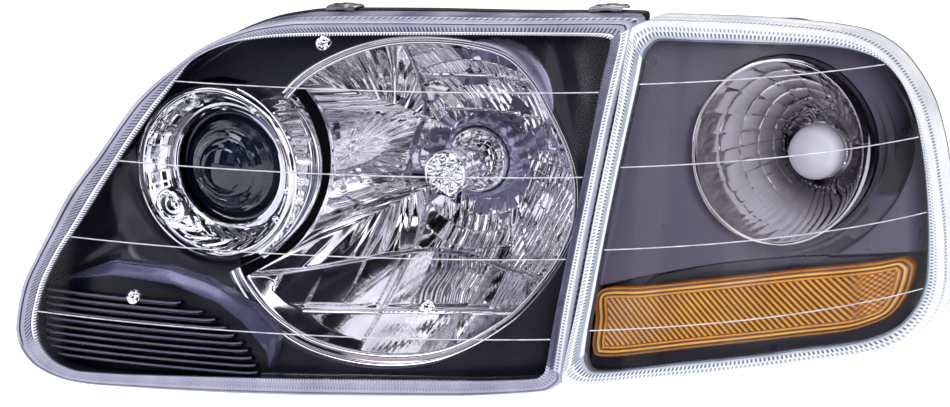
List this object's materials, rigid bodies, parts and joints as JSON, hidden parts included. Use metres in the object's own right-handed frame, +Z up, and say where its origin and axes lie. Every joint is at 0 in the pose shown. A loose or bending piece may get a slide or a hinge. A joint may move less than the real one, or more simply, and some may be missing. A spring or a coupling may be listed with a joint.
{
  "type": "car headlight assembly",
  "caption": "Wrap-round vehicle headlamp with a movable main reflector, a projector, a corner turn signal lamp and screw aiming.",
  "frame": {"origin": "a point on the flat rear face of the upper mounting boss of the headlamp housing", "axes": "+X outboard (towards the corner lamp), +Y back into the vehicle, +Z up"},
  "size_m": [0.4915, 0.3317, 0.2296],
  "materials": {
    "clear_lens": "clear hard-coated polycarbonate, moulded flutes at the edge",
    "black_housing": "black moulded polypropylene",
    "seal_rubber": "black butyl seal",
    "dark_bezel": "near-black indigo satin plastic",
    "black_insert": "black ribbed plastic",
    "chrome": "bright metallised plastic",
    "mirror_bowl": "vacuum metallised reflector",
    "lens_glass": "clear glass",
    "bulb_glass": "clear quartz glass",
    "amber_glass": "amber coated glass",
    "steel": "plated steel",
    "white_nylon": "natural nylon",
    "grey_plastic": "grey nylon",
    "amber_plastic": "amber acrylic, prismatic",
    "slate_bezel": "dark slate plastic",
    "opal_white": "white opal cap"
  },
  "bodies": {
    "housing": {"headlamp_housing": "black_housing", "headlamp_lens": "clear_lens", "headlamp_seal": "seal_rubber", "inner_bezel": "dark_bezel", "opening_trim": "chrome", "louvre_insert": "black_insert", "bezel_fin": "dark_bezel", "projector_ring": "chrome", "projector_lens": "lens_glass", "projector_barrel": "chrome", "projector_bowl": "mirror_bowl", "aux_bulb": "bulb_glass", "aux_bulb_holder": "black_housing", "pivot_stud": "steel", "vent_cap_low": "seal_rubber", "vent_cap_side": "seal_rubber", "lens_clip_1": "steel", "lens_clip_2": "steel", "lens_clip_3": "steel", "lens_clip_4": "steel", "corner_lamp_bracket": "black_housing"},
    "pivot_link": {"pivot_socket": "white_nylon"},
    "reflector": {"main_reflector": "mirror_bowl", "main_bulb": "bulb_glass", "bulb_base": "steel", "glare_shield": "chrome", "vertical_adjuster_socket": "white_nylon", "horizontal_adjuster_socket": "white_nylon"},
    "bulb_ring": {"bulb_retaining_ring": "grey_plastic"},
    "vertical_stud": {"vertical_adjuster_stud": "steel"},
    "vertical_knob": {"vertical_adjuster_knob": "grey_plastic"},
    "horizontal_stud": {"horizontal_adjuster_stud": "steel"},
    "horizontal_knob": {"horizontal_adjuster_knob": "grey_plastic"},
    "main_cap": {"main_service_cap": "seal_rubber"},
    "aux_cap": {"aux_service_cap": "seal_rubber"},
    "corner_lamp": {"corner_housing": "black_housing", "corner_lens": "clear_lens", "corner_seal": "seal_rubber", "corner_bezel": "slate_bezel", "corner_reflector": "mirror_bowl", "amber_reflex": "amber_plastic", "corner_guide_pin_upper": "steel", "corner_guide_pin_lower": "steel"},
    "turn_holder": {"turn_socket": "grey_plastic", "turn_bulb": "amber_glass", "bulb_cap": "opal_white", "socket_seal": "seal_rubber"}
  },
  "joints": [
    {"name": "vertical_aim_turn", "type": "hinge", "parent": "housing", "child": "vertical_knob", "pos_m": [-0.035, -0.02, -0.1435], "axis": [0, 1, 0], "range_deg": [-650, 650]},
    {"name": "vertical_stud_slide", "type": "slide", "parent": "housing", "child": "vertical_stud", "axis": [0, 1, 0], "range_m": [-0.0046, 0.0046]},
    {"name": "vertical_aim", "type": "hinge", "parent": "housing", "child": "pivot_link", "pos_m": [-0.035, -0.075, -0.0135], "axis": [1, 0, 0], "range_deg": [-2, 2]},
    {"name": "horizontal_aim_turn", "type": "hinge", "parent": "housing", "child": "horizontal_knob", "pos_m": [0.095, -0.02, -0.0135], "axis": [0, 1, 0], "range_deg": [-650, 650]},
    {"name": "horizontal_stud_slide", "type": "slide", "parent": "housing", "child": "horizontal_stud", "axis": [0, 1, 0], "range_m": [-0.0046, 0.0046]},
    {"name": "horizontal_aim", "type": "hinge", "parent": "pivot_link", "child": "reflector", "pos_m": [-0.035, -0.075, -0.0135], "axis": [0, 0, 1], "range_deg": [-2, 2]},
    {"name": "bulb_ring_twist", "type": "hinge", "parent": "reflector", "child": "bulb_ring", "pos_m": [0.031, -0.047, -0.07], "axis": [0, 1, 0], "range_deg": [0, 45]},
    {"name": "main_cap_twist", "type": "hinge", "parent": "housing", "child": "main_cap", "pos_m": [0.031, -0.02, -0.07], "axis": [0, 1, 0], "range_deg": [0, 45]},
    {"name": "aux_cap_twist", "type": "hinge", "parent": "housing", "child": "aux_cap", "pos_m": [-0.0895, -0.02, -0.0675], "axis": [0, 1, 0], "range_deg": [0, 45]},
    {"name": "corner_lamp_slide", "type": "slide", "parent": "housing", "child": "corner_lamp", "axis": [0, -1, 0], "range_m": [0, 0.045]},
    {"name": "turn_socket_twist", "type": "hinge", "parent": "corner_lamp", "child": "turn_holder", "pos_m": [0.222, 0.035, -0.0625], "axis": [0, 1, 0], "range_deg": [0, 45]}
  ],
  "couplings": [
    {"joint": "vertical_stud_slide", "follows": "vertical_aim_turn", "m_per_rad": -0.00039789},
    {"joint": "vertical_aim", "follows": "vertical_aim_turn", "ratio": -0.0030607},
    {"joint": "horizontal_stud_slide", "follows": "horizontal_aim_turn", "m_per_rad": -0.00039789},
    {"joint": "horizontal_aim", "follows": "horizontal_aim_turn", "ratio": -0.0030607}
  ]
}
